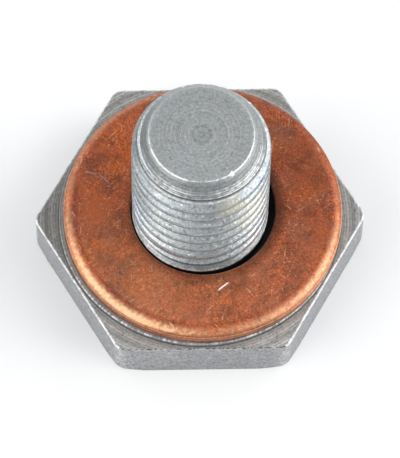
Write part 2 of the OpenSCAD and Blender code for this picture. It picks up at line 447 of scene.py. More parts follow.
def flats_material(name, finish):
    """Zinc-coated steel of the drawn bar, with faint lines along the flats."""
    made, tree, shader = metal(name, 0.7)
    zinc = Vector(finish.zinc_drawn)
    bloom = use_group(
        tree, "Metal bloom", metal_bloom, base=(*zinc, 1.0), cool=(*zinc, 1.0),
        warm=(*zinc.lerp(Vector(finish.zinc_warm), 0.1), 1.0),
        patch_scale=300.0, grain_scale=4600.0, grain_strength=2.0, pits=0.35, glints=0.4,
    )
    place = node(tree, "ShaderNodeTexCoord").outputs["Object"]
    drawn = node(tree, "ShaderNodeMapping", {"Vector": place, "Scale": (0.05, 0.05, 1.0)}).outputs[0]
    lines = grain(tree, drawn, 5000.0, 2.0, 0.6)
    level = calc(tree, "MULTIPLY_ADD", calc(tree, "SUBTRACT", lines, 0.5), 0.2, 1.0)
    shaded = node(tree, "ShaderNodeVectorMath", {0: bloom["Colour"], "Scale": level}, operation="SCALE").outputs[0]
    # Painted shade in dots along the front edge and painted highlight on the corners, as on the other zinc
    darkening = node(tree, "ShaderNodeAttribute", attribute_name="bore").outputs["Fac"]
    worn_and_lit = use_group(tree, "Worn edges", lit_and_worn_edges, spread=0.9, break_scale=2300.0)["Mask"]
    put(tree, shader.inputs["Base Color"], mix(tree, darkening, mix(tree, worn_and_lit, shaded, finish.burr), finish.shade_and_grime))
    dull = ramp(tree, bloom["Dullness"], 0.3, 0.7, 0.42, 0.54, "LINEAR")
    put(tree, shader.inputs["Roughness"], calc(tree, "MULTIPLY_ADD", worn_and_lit, -0.12, dull))
    height = calc(tree, "MULTIPLY_ADD", lines, 0.15, calc(tree, "MULTIPLY", bloom["Grain"], 0.35))
    bump(tree, shader, height, 1.0, 0.1 * MM)
    return made


# Scratches on the washer, real marks painted near-white as their highlight: x and y in mm, direction in degrees, half
# length and half width in mm, brightness
WASHER_SCRATCHES = (
    (1.89, -7.58, 41, 0.68, 0.1, 1.0),
    (4.06, -8.01, -43, 0.42, 0.05, 0.35),
    (0.60, -9.70, 43, 0.42, 0.05, 0.35),
    (-9.58, 3.60, -14, 0.57, 0.06, 0.28),
    (-8.41, 3.05, -48, 0.92, 0.05, 0.22),
    (-11.10, -0.39, -56, 0.35, 0.06, 0.4),
)


# Stains on the washer: colour, x and y in mm, radius in mm, strength
WASHER_STAINS = (
    ("copper_orange", -8.96, 0.0, 1.8, 0.6),
    ("copper_orange", -5.2, -7.3, 2.2, 0.7),
    ("copper_dark", -7.99, -4.75, 1.2, 0.4),
    ("copper_dark", 2.3, -7.2, 1.0, 0.3),
    ("copper_dark", 10.38, 2.72, 1.2, 0.4),
    ("copper_dull", 7.31, 7.07, 1.7, 0.35),
    ("copper_dull", 8.55, -2.23, 1.5, 0.3),
)
# How much the copper's grain changes its brightness, where it is least and where it is most
COPPER_GRAIN = (0.3, 2.4)
# Directions of the copper's fine streaks in degrees, and how long a streak is for its width
STREAK_TURNS = (38, -47, 82)
STREAK_STRETCH = 7.0


def copper_material(name, finish):
    """Stained copper, with a painted highlight along the rim that is partly rubbed copper, and painted shade towards
    the bore.
    """
    made, tree, shader = metal(name, 0.6)
    copper = Vector(finish.copper)
    bloom = use_group(
        tree, "Metal bloom", metal_bloom, base=(*copper, 1.0),
        cool=(*copper.lerp(Vector(finish.copper_dark), 0.6), 1.0), warm=(*finish.copper_orange, 1.0),
        patch_scale=220.0, grain_scale=6200.0, grain_strength=1.6, pits=0.25, glints=0.25,
    )
    place = node(tree, "ShaderNodeTexCoord").outputs["Object"]
    spots = ramp(tree, grain(tree, place, 600.0, 4.0, 0.65, 0.6), 0.44, 0.68)
    stained = mix(tree, calc(tree, "MULTIPLY", spots, 0.7), bloom["Colour"], finish.copper_dark)
    film = ramp(tree, grain(tree, place, 330.0, 3.0, 0.6, 0.8), 0.42, 0.68, 0.0, 0.4)
    stained = mix(tree, film, stained, finish.copper_haze)
    for tone, x, y, radius, strength in WASHER_STAINS:
        spot = use_group(tree, "Stain", stain, centre=(x * MM, y * MM, WASHER_HIGH[2]), radius=radius * MM)["Mask"]
        stained = mix(tree, calc(tree, "MULTIPLY", spot, strength), stained, getattr(finish, tone))
    strength = ramp(tree, grain(tree, place, 260.0, 2.0), 0.36, 0.64, *COPPER_GRAIN)
    level = calc(tree, "MULTIPLY_ADD", calc(tree, "SUBTRACT", bloom["Grain"], 0.5), strength, 1.0)
    stained = node(tree, "ShaderNodeVectorMath", {0: stained, "Scale": level}, operation="SCALE").outputs[0]
    specks = ramp(tree, grain(tree, place, 4200.0, 2.0), 0.6, 0.72, 0.0, 0.5)
    for degrees in STREAK_TURNS:
        turned = node(
            tree, "ShaderNodeMapping",
            {"Vector": place, "Rotation": (0.0, 0.0, math.radians(degrees)), "Scale": (STREAK_STRETCH, 1.0, 1.0)},
            vector_type="TEXTURE",
        ).outputs[0]
        specks = calc(tree, "MAXIMUM", specks, ramp(tree, grain(tree, turned, 3600.0, 1.0), 0.66, 0.78, 0.0, 0.6))
    clusters = ramp(tree, grain(tree, place, 450.0, 2.0), 0.44, 0.62, 0.15, 1.0)
    stained = mix(tree, calc(tree, "MULTIPLY", specks, clusters), stained, finish.copper_bright)
    shadow = node(tree, "ShaderNodeAttribute", attribute_name="bore").outputs["Fac"]
    marks = 0.0
    for x, y, degrees, half_length, half_width, gleam in WASHER_SCRATCHES:
        mask = use_group(
            tree, "Scratch", scratch, centre=(x * MM, y * MM, 0.0), turn=math.radians(degrees),
            half_length=half_length * MM, half_width=half_width * MM,
        )["Mask"]
        marks = calc(tree, "MAXIMUM", marks, calc(tree, "MULTIPLY", mask, gleam))
    # Painted highlight: bright copper where the rim, bore and face tables say, partly rubbed copper
    worn_and_lit = use_group(tree, "Worn edges", lit_and_worn_edges, spread=0.6, break_scale=3000.0)["Mask"]
    rubbed_and_lit = mix(tree, worn_and_lit, stained, finish.copper_bright)
    # Painted highlight: the scratches turn near-white and less metallic
    rubbed_and_lit = mix(tree, marks, rubbed_and_lit, (1.0, 0.9, 0.8))
    # Painted shadow: near-black copper where the bore values darken, next to the bore, on the rim and on the face's
    # right and back
    shaded = mix(tree, shadow, rubbed_and_lit, Vector(finish.copper_dark) * 0.12)
    put(tree, shader.inputs["Base Color"], shaded)
    bare = calc(tree, "MAXIMUM", marks, calc(tree, "MULTIPLY", worn_and_lit, 0.6))
    put(tree, shader.inputs["Metallic"], calc(tree, "MULTIPLY_ADD", bare, -0.6, 0.6))
    dull = ramp(tree, bloom["Dullness"], 0.3, 0.7, 0.42, 0.52, "LINEAR")
    put(tree, shader.inputs["Roughness"], calc(tree, "MULTIPLY_ADD", worn_and_lit, -0.06, dull))
    height = calc(tree, "MULTIPLY_ADD", marks, -0.1, calc(tree, "MULTIPLY", bloom["Grain"], 0.4))
    bump(tree, shader, height, 1.0, 0.1 * MM)
    return made


Row = namedtuple("Row", "radius height zone wear bore", defaults=(0, 0.0, 0.0))


def lathe(name, rows, angles, centre=0.0, ring=False):
    """Mesh turned from rows of points. A row's radius, height, wear and bore are numbers or functions of the angle. The
    wear is real wear with painted highlight, and the bore is painted shade with some dirt.

    The rows run outwards under the piece, up its wall and inwards over its top. A row with radius 0 is a pole,
    and ring joins the last row to the first.
    """
    def at(value, angle):
        return value(angle) if callable(value) else value

    mesh = bmesh.new()
    wear = mesh.verts.layers.float.new("wear")
    bore = mesh.verts.layers.float.new("bore")
    loops = []
    for row in rows:
        pole = not callable(row.radius) and row.radius == 0.0
        loop = []
        for angle in (angles[:1] if pole else angles):
            radius = at(row.radius, angle)
            point = (centre + radius * math.cos(angle), radius * math.sin(angle), at(row.height, angle))
            vert = mesh.verts.new(point)
            vert[wear] = at(row.wear, angle)
            vert[bore] = at(row.bore, angle)
            loop.append(vert)
        loops.append(loop)
    pairs = list(zip(loops, loops[1:], rows[1:]))
    if ring:
        pairs.append((loops[-1], loops[0], rows[0]))
    count = len(angles)
    for low, high, row in pairs:
        for i in range(count):
            j = (i + 1) % count
            corners = [low[i % len(low)], low[j % len(low)], high[j % len(high)], high[i % len(high)]]
            face = mesh.faces.new(list(dict.fromkeys(corners)))
            face.material_index = row.zone
            face.smooth = True
    bmesh.ops.remove_doubles(mesh, verts=mesh.verts, dist=1e-7)
    made = bpy.data.meshes.new(name)
    mesh.to_mesh(made)
    mesh.free()
    piece = bpy.data.objects.new(name, made)
    bpy.context.scene.collection.objects.link(piece)
    return piece


def arc(centre_r, centre_z, radius, start, stop, steps):
    """Points of an arc in the half section, from one angle to another in degrees."""
    angles = (math.radians(start + (stop - start) * k / steps) for k in range(steps + 1))
    return [(centre_r + radius * math.cos(a), centre_z + radius * math.sin(a)) for a in angles]


def uneven(angle, height, scale, seed):
    """Smooth deterministic unevenness round the axis, between about -1 and 1."""
    return noise.noise(Vector((scale * math.cos(angle), scale * math.sin(angle), height + seed)))


def hex_radius(angle, flat, corner):
    """Distance from the axis to the head's outline, whose rounded corners lie on X and every 60 degrees from it."""
    off = abs((angle + math.radians(30)) % math.radians(60) - math.radians(30))
    centre = (flat - corner) / COS30
    if off < math.atan2(corner * 0.5, centre + corner * COS30):
        return centre * math.cos(off) + math.sqrt(corner ** 2 - (centre * math.sin(off)) ** 2)
    return flat / math.cos(math.radians(30) - off)


def plug_angles(even=540):
    """Directions of the plug's columns: even all round, with more of them at the head's corners."""
    close = (0.35, 0.7, 1.05, 1.6, 2.1, 2.52)
    angles = {round(math.tau * i / even, 9) for i in range(even)}
    for i in range(6):
        angles.update(round((math.radians(60 * i + s * c)) % math.tau, 9) for c in close for s in (-1, 1))
    return sorted(angles)


def by_side(front, beside, rest):
    """Level that differs between the head's front side, the two sides next to it, and the others."""
    levels = (rest, rest, rest, beside, front, beside)
    return lambda angle: levels[int(angle / math.radians(60)) % 6]


def around(*levels, factor=1.0):
    """Level that runs through the given ones, which are spaced evenly round the axis from +X."""
    def level(angle):
        place = angle / math.tau * len(levels)
        first, part = int(place) % len(levels), place % 1.0
        return factor * (levels[first] * (1.0 - part) + levels[(first + 1) % len(levels)] * part)
    return level


TURNED, FLATS, CREST, THREAD, CHAMFER, NOSE = range(6)
# Painted highlight on the nose's edge and its chamfer, partly rubbed metal, in steps of 30 degrees from +X
NOSE_GLEAM = (0.08, 0.05, 0.05, 0.05, 0.05, 0.05, 0.08, 1.0, 1.0, 0.2, 0.9, 1.0)
# The same for the washer's rim, the collar's edge, the bore's edge and the shoulder's edge, with the painted shade on
# two of them
RIM_GLEAM = (0.08, 0.0, 0.0, 0.25, 0.35, 0.25, 0.3, 1.2, 1.5, 0.4, 0.5, 0.8)
RIM_SHADE = (0.18, 0.28, 0.28, 0.25, 0.2, 0.1, 0.18, 0.0, 0.0, 0.0, 0.0, 0.0)
COLLAR_GLEAM = (0.2, 0.1, 0.1, 0.1, 0.1, 0.05, 0.05, 0.9, 1.0, 0.5, 1.0, 1.0)
COLLAR_SHADE = (0.1, 0.2, 0.2, 0.2, 0.3, 0.45, 0.5, 0.2, 0.0, 0.1, 0.0, 0.0)
BORE_GLEAM = (0.15, 0.1, 0.1, 0.1, 0.1, 0.1, 0.2, 0.25, 0.2, 0.25, 0.5, 0.35)
SHOULDER_GLEAM = (0.6, 0.3, 0.3, 0.3, 0.3, 0.3, 0.6, 1.0, 0.9, 0.6, 0.7, 0.8)
# Painted highlight towards the front of the washer's upper face, and painted shade on its right and back
FACE_GLEAM = (0.0, 0.0, 0.0, 0.03, 0.0, 0.0, 0.03, 0.09, 0.14, 0.06, 0.06, 0.03)
FACE_SHADE = (0.12, 0.34, 0.2, 0.12, 0.14, 0.1, 0.03, 0.0, 0.0, 0.0, 0.0, 0.03)
# Painted shade on the head's upper face, the crests and the nose's chamfer by direction, and darkening of its end face
# away from the front, in steps of 30 degrees too
HEAD_SHADE = (0.24, 0.26, 0.32, 0.32, 0.32, 0.4, 0.53, 0.38, 0.08, 0.06, 0.0, 0.12)
CREST_SHADE = (0.05, 0.0, 0.0, 0.0, 0.0, 0.0, 0.1, 0.15, 0.4, 0.62, 0.48, 0.15)
LOW_CHAMFER_SHADE = (0.55, 0.5, 0.45, 0.45, 0.5, 0.6, 0.65, 0.4, 0.15, 0.0, 0.05, 0.3)
CHAMFER_SHADE = (0.2, 0.3, 0.24, 0.2, 0.34, 0.54, 0.62, 0.44, 0.17, 0.24, 0.12, 0.1)
NOSE_DARKENING = (0.05, 0.08, 0.1, 0.1, 0.1, 0.1, 0.08, 0.05, 0.0, 0.0, 0.0, 0.02)
# How clear the marks on the nose's chamfer are, in their depth and in their painted shade
MARK_CLEAR = (0.25, 0.15, 0.1, 0.1, 0.1, 0.15, 0.25, 0.6, 1.0, 1.0, 1.0, 0.6)
# Marks on the nose's chamfer: mm above its start, mm out from the cone, skin, wear with painted highlight, and painted
# shade
CHAMFER_MARKS = (
    (0.25, 0.0, THREAD, 0.0, 0.0),
    (0.31, -0.03, THREAD, 0.0, 0.5),
    (0.39, 0.0, THREAD, 0.1, 0.0),
    (0.49, 0.012, THREAD, 0.7, 0.0),
    (0.59, 0.0, THREAD, 0.0, 0.1),
    (0.67, -0.08, CHAMFER, 0.0, 0.9),
    (0.75, -0.01, CHAMFER, 0.1, 0.0),
    (0.83, 0.012, CHAMFER, 1.0, 0.0),
    (0.91, -0.008, CHAMFER, 0.0, 0.1),
    (0.98, 0.01, CHAMFER, 0.7, 0.0),
    (1.05, -0.008, CHAMFER, 0.0, 0.1),
    (1.15, 0.014, CHAMFER, 0.9, 0.05),
    (1.25, -0.008, CHAMFER, 0.0, 0.1),
    (1.35, 0.01, CHAMFER, 0.6, 0.1),
    (1.43, 0.0, CHAMFER, 0.0, 0.1),
    (1.60, 0.0, CHAMFER, 0.0, 0.15),
    (1.83, 0.0, CHAMFER, 0.0, 0.2),
)


def plug_rows(size):
    """Rows of the plug before its thread is cut, from the middle of the head's outer face to the nose."""
    flat, corner = size.flat_radius, size.corner_round
    top = size.seat - size.collar_height
    reach = (flat - corner) / COS30 + corner
    foot = reach - size.foot_chamfer
    slope = math.tan(size.foot_slope)
    foot_break = 0.08 * MM
    edge = size.edge_round
    collar = flat - size.collar_inset
    crest = size.crest_radius
    relief_top = SHANK_MIDDLE - SHANK_HALF
    relief_low = relief_top - size.relief_width
    shoulder = relief_low - size.shoulder_chamfer
    root = crest - size.relief_depth
    chamfer_z = SHANK_MIDDLE + SHANK_HALF
    nose_z = PLUG_HIGH[2]
    burr_side = by_side(0.2, 1.0, 0.25)
    burr_turn, burr_reach = math.radians(305), math.radians(5)
    dotted = by_side(1.0, 0.0, 0.0)
    collar_shade, collar_gleam = around(*COLLAR_SHADE), around(*COLLAR_GLEAM)

    def speck(level):
        """Painted shade in dots along the front edge."""
        return lambda a: level * dotted(a) * (0.35 + 0.65 * (uneven(a, 0.0, 90.0, 3.0) > 0.0))

    def rubbed_and_lit(a):
        """Share of the collar's edge that carries its painted highlight, partly rubbed metal, in pieces of uneven
        length.
        """
        return min(1.0, max(0.0, 0.6 + uneven(a, 0.0, 17.0, 9.0) + 2.4 * uneven(a, 0.0, 70.0, 4.0)))

    def sparkle(factor):
        """Painted highlight on the collar's edge, partly wear."""
        gleam = around(*COLLAR_GLEAM, factor=factor)
        return lambda a: gleam(a) * (0.15 + 0.85 * rubbed_and_lit(a))

    def gaps(a):
        """Painted shade on the collar's edge, most where its painted highlight breaks off."""
        return collar_shade(a) + 0.4 * collar_gleam(a) * (1.0 - rubbed_and_lit(a))

    def corner_gleam(a):
        """Painted highlight down the head's upright corners, partly rubbed metal."""
        off = abs((a + math.radians(30)) % math.radians(60) - math.radians(30))
        return 0.25 * max(0.0, 1.0 - off / math.radians(3.2))

    def outline(inset, burr=0.0):
        def radius(a):
            rough = max(0.0, uneven(a, 0.0, 70.0, 5.0)) * burr_side(a) * burr
            rough += max(0.0, 0.3 + uneven(a, 0.0, 45.0, 8.0)) * max(0.0, 1.0 - abs(a - burr_turn) / burr_reach) * 2.5 * burr
            return hex_radius(a, flat - inset, corner - inset) + rough
        return radius

    def cone(z, lift=0.0):
        return crest - (z - chamfer_z) * (crest - size.nose_radius) / (nose_z - chamfer_z) + lift

    rows = [
        Row(0.0, 0.0),
        Row(0.6 * foot, 0.0),
        Row(lambda a: min(hex_radius(a, flat - foot_break, corner - foot_break), foot), 0.0),
        Row(outline(0.0), lambda a: max(foot_break, (hex_radius(a, flat, corner) - foot) * slope), 0, corner_gleam),
        Row(outline(0.0), top - 2.2 * edge, FLATS, corner_gleam),
    ]
    # The head's upper edge: painted highlight along its burr, brightest on the two sides beside the front, and painted
    # shade in dots along the front side
    edge_look = ((0.3, 0.0, 0.0), (1.0, 0.2, 0.5), (1.0, 0.8, 1.0), (1.0, 1.0, 1.0), (1.0, 0.6, 1.0))
    for k, (wear, darkening, rise) in enumerate(edge_look):
        bend = math.radians(90 * k / 4)
        burr = 0.05 * MM * rise
        rows.append(Row(
            outline(edge * (1 - math.cos(bend)), burr), top - edge + edge * math.sin(bend) + 0.2 * burr,
            FLATS if k < 2 else TURNED, by_side(0.3 * wear, wear, 0.35 * wear), speck(darkening),
        ))
    # Painted shade from the bore values below: on the head's upper face by direction, in the corner at the collar's
    # foot, in the gap under the washer and in the relief; the wear values paint highlights on the collar's edge, the
    # shoulder's edge and the crests
    rows += [
        Row(outline(edge + 0.1 * MM), top, bore=around(*HEAD_SHADE)),
        Row(collar + 0.1 * MM, top, bore=around(*HEAD_SHADE)),
        Row(collar + 0.03 * MM, top, bore=0.8),
        Row(collar, top + 0.05 * MM, bore=0.6),
        Row(collar, top + 0.13 * MM, bore=0.1),
        Row(collar, size.seat - 0.1 * MM, wear=sparkle(0.3), bore=gaps),
        Row(collar, size.seat - 0.05 * MM, wear=sparkle(1.0), bore=gaps),
        Row(collar - 0.05 * MM, size.seat, wear=sparkle(1.0), bore=gaps),
        Row(collar - 0.14 * MM, size.seat, wear=sparkle(0.5), bore=gaps),
        Row(collar - 0.25 * MM, size.seat, bore=0.5),
        Row(crest + 0.9 * MM, size.seat, bore=1.0),
        Row(crest + 0.05 * MM, size.seat, bore=1.0),
        Row(crest, size.seat + 0.05 * MM, CREST, bore=1.0),
        Row(crest, shoulder - 0.28 * MM, CREST, bore=1.0),
        Row(crest, shoulder - 0.2 * MM, CHAMFER, around(*SHOULDER_GLEAM, factor=0.6)),
        Row(crest, shoulder - 0.03 * MM, CHAMFER, around(*SHOULDER_GLEAM)),
        Row(crest - 0.03 * MM, shoulder + 0.03 * MM, CHAMFER, around(*SHOULDER_GLEAM, factor=0.7)),
        Row(crest - 0.1 * MM, shoulder + 0.1 * MM, CHAMFER),
        Row(crest - size.shoulder_chamfer + 0.05 * MM, relief_low - 0.05 * MM, CHAMFER),
        Row(crest - size.shoulder_chamfer, relief_low, CHAMFER, bore=0.5),
        Row(root, relief_low, CREST, bore=0.9),
        Row(root, relief_top, CREST, bore=0.85),
        Row(crest - 0.08 * MM, relief_top, CREST, bore=0.3),
        Row(crest, relief_top + 0.08 * MM, CREST, 0.4, around(*CREST_SHADE)),
    ]
    tilt = math.atan2(crest - size.nose_radius, nose_z - chamfer_z)
    soft = 0.9 * MM
    # The chamfer's rounded start: painted shade from the crest and chamfer tables, and painted highlight from the
    # nose's table
    for r, z in arc(crest - soft, chamfer_z - soft * math.tan(tilt / 2), soft, 0, math.degrees(tilt), 5):
        painted_shade = around(*(max(high, 0.6 * low) for high, low in zip(CREST_SHADE, LOW_CHAMFER_SHADE)))
        rows.append(Row(r, z, CREST, around(*NOSE_GLEAM, factor=0.4), painted_shade))
    clear = around(*MARK_CLEAR)
    # The chamfer's marks are real ridges and dips, with painted highlight on them and painted shade in the notch, both
    # clearest at the front
    for above, lift, skin, wear, darkening in CHAMFER_MARKS:
        z = chamfer_z + above * MM
        table = CHAMFER_SHADE if skin == CHAMFER else LOW_CHAMFER_SHADE
        painted_shade = around(*(max(darkening * seen, level) for seen, level in zip(MARK_CLEAR, table)))
        radius = partial(lambda z, lift, a: cone(z, lift * clear(a)), z, lift * MM)
        rows.append(Row(radius, z, skin, around(*NOSE_GLEAM, factor=1.5 * wear), painted_shade))
    rounding = size.nose_round
    inner = size.nose_radius - rounding * (1 - math.sin(tilt)) / math.cos(tilt)
    # The end face's rounded edge: painted highlight, partly rubbed metal
    edge_wear_and_highlight = (0.2, 1.5, 1.5, 0.8, 0.0)
    for (r, z), wear in zip(arc(inner, nose_z - rounding, rounding, math.degrees(tilt), 90, 4), edge_wear_and_highlight):
        rows.append(Row(r, z, NOSE, around(*NOSE_GLEAM, factor=wear)))
    # The end face: darker away from the front, and darker still in the centre spot
    for r in (0.975, 0.94, 0.8, 0.55, 0.3):
        rows.append(Row(r * inner, nose_z, NOSE, bore=around(*NOSE_DARKENING)))
    for r, dip in ((0.1, 0.0), (0.075, 0.012), (0.04, 0.02), (0.0, 0.03)):
        rows.append(Row(r * inner, nose_z - dip * MM, NOSE, bore=0.24))
    return rows


def thread_tree(name):
    """Cuts a helical groove, which runs out of the shank at its lower end, from the plug."""
    tree, inputs, end = group_tree(
        name,
        (
            ("Plug", "Geometry", None), ("Crest radius", "Float", 6.0 * MM), ("Pitch", "Float", 1.5 * MM),
            ("Groove width", "Float", 1.0 * MM), ("Groove depth", "Float", 0.75 * MM),
            ("Root width", "Float", 0.2 * MM), ("Root round", "Float", 0.06 * MM), ("Edge break", "Float", 0.04 * MM),
            ("Start height", "Float", 0.0), ("Start turn", "Float", 0.0), ("Turns", "Float", 8.0),
            ("Run out", "Float", 0.4), ("Skin", "Material", None),
        ),
        (("Plug", "Geometry"),), "GeometryNodeTree",
    )
    spiral = node(
        tree, "GeometryNodeCurveSpiral",
        {
            "Resolution": 112, "Rotations": inputs["Turns"], "Start Radius": inputs["Crest radius"],
            "End Radius": inputs["Crest radius"], "Height": calc(tree, "MULTIPLY", inputs["Turns"], inputs["Pitch"]),
            "Reverse": True,
        },
    ).outputs["Curve"]
    rise = node(tree, "ShaderNodeCombineXYZ", {"Z": inputs["Start height"]}).outputs[0]
    spin = node(tree, "ShaderNodeCombineXYZ", {"Z": inputs["Start turn"]}).outputs[0]
    placed = node(
        tree, "GeometryNodeTransform", {"Geometry": spiral, "Translation": rise, "Rotation": spin}
    ).outputs["Geometry"]
    done = node(tree, "GeometryNodeSplineParameter").outputs["Factor"]
    fade = calc(tree, "DIVIDE", inputs["Run out"], inputs["Turns"])
    lift = ramp(tree, done, 0.0, fade, calc(tree, "MULTIPLY", inputs["Groove depth"], 1.1), 0.0, "LINEAR")
    flat = node(
        tree, "ShaderNodeVectorMath", {0: node(tree, "GeometryNodeInputPosition").outputs[0], 1: (1.0, 1.0, 0.0)},
        operation="MULTIPLY",
    ).outputs[0]
    outward = node(tree, "ShaderNodeVectorMath", {0: flat}, operation="NORMALIZE").outputs[0]
    offset = node(tree, "ShaderNodeVectorMath", {0: outward, "Scale": lift}, operation="SCALE").outputs[0]
    path = node(tree, "GeometryNodeSetPosition", {"Geometry": placed, "Offset": offset}).outputs["Geometry"]
    path = node(tree, "GeometryNodeSetCurveNormal", {"Curve": path}, mode="Z_UP").outputs["Curve"]

    def section(depth, floor, mouth, reach, widen):
        """Four-sided cutter section: its floor lies at depth, and it reaches out past the crest."""
        half_floor = calc(tree, "MULTIPLY", floor, 0.5)
        half_mouth = calc(tree, "MULTIPLY_ADD", mouth, 0.5, reach * widen)
        points = {}
        inner = calc(tree, "MULTIPLY", depth, -1.0)
        corners = ((inner, 1.0, half_floor), (inner, -1.0, half_floor), (reach, -1.0, half_mouth), (reach, 1.0, half_mouth))
        for i, (out, side, half) in enumerate(corners):
            across = calc(tree, "MULTIPLY", half, side)
            points[f"Point {i + 1}"] = node(tree, "ShaderNodeCombineXYZ", {"X": out, "Y": across}).outputs[0]
        return node(tree, "GeometryNodeCurvePrimitiveQuadrilateral", points, mode="POINTS").outputs["Curve"]

    groove = section(inputs["Groove depth"], inputs["Root width"], inputs["Groove width"], 0.3 * MM, math.tan(math.radians(30)))
    groove = node(
        tree, "GeometryNodeFilletCurve", {"Curve": groove, "Radius": inputs["Root round"], "Count": 3}, mode="POLY"
    ).outputs["Curve"]
    wide = calc(tree, "MULTIPLY_ADD", inputs["Edge break"], 2.0, inputs["Groove width"])
    broken = section(inputs["Edge break"], inputs["Groove width"], wide, 0.1 * MM, 1.0)
    split = node(tree, "ShaderNodeSeparateXYZ", {0: node(tree, "GeometryNodeInputPosition").outputs[0]}).outputs
    above = calc(tree, "SUBTRACT", split[2], inputs["Start height"])
    # Painted shade on the groove: low on the front, and over the highlights on the left and the right, most at the
    # crests and fading towards the root
    front_shade = calc(
        tree, "MULTIPLY", ramp(tree, above, 0.0, 9.0 * MM, 0.22, 0.14),
        ramp(tree, split[1], -5.5 * MM, -4.0 * MM, 1.0, 0.0),
    )
    left_shade = calc(
        tree, "MULTIPLY", ramp(tree, above, 1.5 * MM, 5.5 * MM, 0.0, 0.42),
        ramp(tree, split[0], -5.3 * MM, -3.2 * MM, 1.0, 0.0),
    )
    right_shade = calc(
        tree, "MULTIPLY", ramp(tree, above, 6.0 * MM, 9.5 * MM, 0.2, 0.32),
        ramp(tree, split[0], 4.2 * MM, 5.5 * MM),
    )
    radius = node(tree, "ShaderNodeVectorMath", {0: flat}, operation="LENGTH").outputs["Value"]
    below = calc(tree, "SUBTRACT", inputs["Crest radius"], radius)
    darkening = calc(tree, "MAXIMUM", front_shade, calc(tree, "MAXIMUM", left_shade, right_shade))
    darkening = calc(tree, "MULTIPLY", darkening, ramp(tree, below, 0.0, 0.6 * MM, 1.0, 0.1))
    darkening = calc(tree, "MULTIPLY", darkening, ramp(tree, above, 10.9 * MM, 11.2 * MM, 1.0, 0.0))
    cutters = []
    for profile in (groove, broken):
        swept = node(
            tree, "GeometryNodeCurveToMesh", {"Curve": path, "Profile Curve": profile, "Fill Caps": True}
        ).outputs["Mesh"]
        cutters.append(node(
            tree, "GeometryNodeStoreNamedAttribute", {"Geometry": swept, "Name": "groove", "Value": True},
            data_type="BOOLEAN", domain="FACE",
        ).outputs["Geometry"])
    cut = node(tree, "GeometryNodeMeshBoolean", {"Mesh 1": inputs["Plug"]}, operation="DIFFERENCE", solver="MANIFOLD")
    for cutter in cutters:
        tree.links.new(cutter, cut.inputs["Mesh 2"])
    real = node(tree, "GeometryNodeRealizeInstances", {"Geometry": cut.outputs["Mesh"]}).outputs["Geometry"]
    turned = node(tree, "GeometryNodeInputNamedAttribute", {"Name": "bore"}, data_type="FLOAT").outputs["Attribute"]
    painted_shade = node(
        tree, "GeometryNodeStoreNamedAttribute",
        {
            "Geometry": real, "Selection": calc(tree, "GREATER_THAN", above, 0.02 * MM), "Name": "bore",
            "Value": calc(tree, "MAXIMUM", turned, darkening),
        },
        data_type="FLOAT", domain="POINT",
    ).outputs["Geometry"]
    chosen = node(tree, "GeometryNodeInputNamedAttribute", {"Name": "groove"}, data_type="BOOLEAN").outputs["Attribute"]
    skinned = node(
        tree, "GeometryNodeSetMaterial", {"Geometry": painted_shade, "Selection": chosen, "Material": inputs["Skin"]}
    ).outputs["Geometry"]
    put(tree, end.inputs["Plug"], skinned)
    return tree


def run_nodes(piece, tree, values):
    """Runs a geometry tree on a piece with the named inputs, and keeps the result as its plain mesh."""
    modifier = piece.modifiers.new(tree.name, "NODES")
    modifier.node_group = tree
    for item in tree.interface.items_tree:
        if item.in_out == "INPUT" and item.name in values:
            modifier[item.identifier] = values[item.name]
    piece.update_tag()
    shown = piece.evaluated_get(bpy.context.evaluated_depsgraph_get())
    made = bpy.data.meshes.new_from_object(shown)
    piece.modifiers.remove(modifier)
    old, piece.data = piece.data, made
    made.name = old.name
    bpy.data.meshes.remove(old)


def burr_at(mesh, centre, radius, push):
    """Pushes the vertices near a point, most at the point itself, and marks them as worn, which also paints a highlight
    on them.
    """
    wear = mesh.attributes["wear"].data
    for vert in mesh.vertices:
        near = 1.0 - (vert.co - Vector(centre)).length / radius
        if near > 0.0:
            vert.co += Vector(push) * near * near * (3.0 - 2.0 * near)
            wear[vert.index].value = max(wear[vert.index].value, min(1.0, 3.0 * near))


